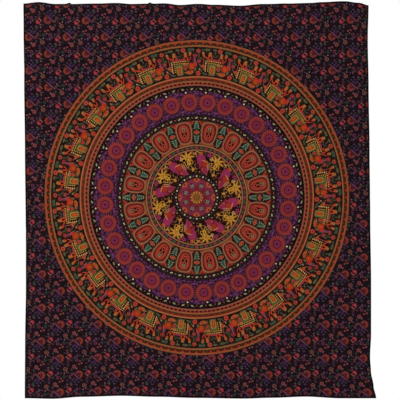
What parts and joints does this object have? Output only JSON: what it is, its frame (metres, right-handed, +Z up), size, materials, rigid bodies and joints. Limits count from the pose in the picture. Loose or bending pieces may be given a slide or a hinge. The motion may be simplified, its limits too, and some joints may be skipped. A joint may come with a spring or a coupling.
{
  "type": "tapestry wall hanging",
  "caption": "Printed cotton wall hanging with a round elephant mandala on a dark floral ground, hemmed all round and pinned along its top edge.",
  "frame": {"origin": "where the middle pin's axis meets the wall plane", "axes": "+X to the viewer's right along the top edge, +Y into the wall along the pins, +Z up; the printed face looks to -Y"},
  "size_m": [2.1, 0.0192, 2.4],
  "materials": {
    "printed_cotton": "matte plain weave",
    "hem_cotton": "matte plain weave",
    "sewing_thread": "spun polyester",
    "pin_plastic": "gloss",
    "pin_steel": "bright drawn wire"
  },
  "bodies": {
    "hung_edge": {"top_band": "printed_cotton", "top_hem": "hem_cotton", "top_needle_thread": "sewing_thread", "top_bobbin_thread": "sewing_thread", "pin_1_head": "pin_plastic", "pin_1_needle": "pin_steel", "pin_2_head": "pin_plastic", "pin_2_needle": "pin_steel", "pin_3_head": "pin_plastic", "pin_3_needle": "pin_steel", "pin_4_head": "pin_plastic", "pin_4_needle": "pin_steel", "pin_5_head": "pin_plastic", "pin_5_needle": "pin_steel", "pin_6_head": "pin_plastic", "pin_6_needle": "pin_steel", "pin_7_head": "pin_plastic", "pin_7_needle": "pin_steel"},
    "drop": {"printed_panel": "printed_cotton", "left_hem": "hem_cotton", "right_hem": "hem_cotton", "bottom_hem": "hem_cotton", "left_needle_thread": "sewing_thread", "left_bobbin_thread": "sewing_thread", "right_needle_thread": "sewing_thread", "right_bobbin_thread": "sewing_thread", "bottom_needle_thread": "sewing_thread", "bottom_bobbin_thread": "sewing_thread"}
  },
  "joints": [
    {"name": "drop_lift", "type": "hinge", "parent": "hung_edge", "child": "drop", "pos_m": [0, -0.0015, -0.007], "axis": [-1, 0, 0], "range_deg": [0, 90]}
  ]
}
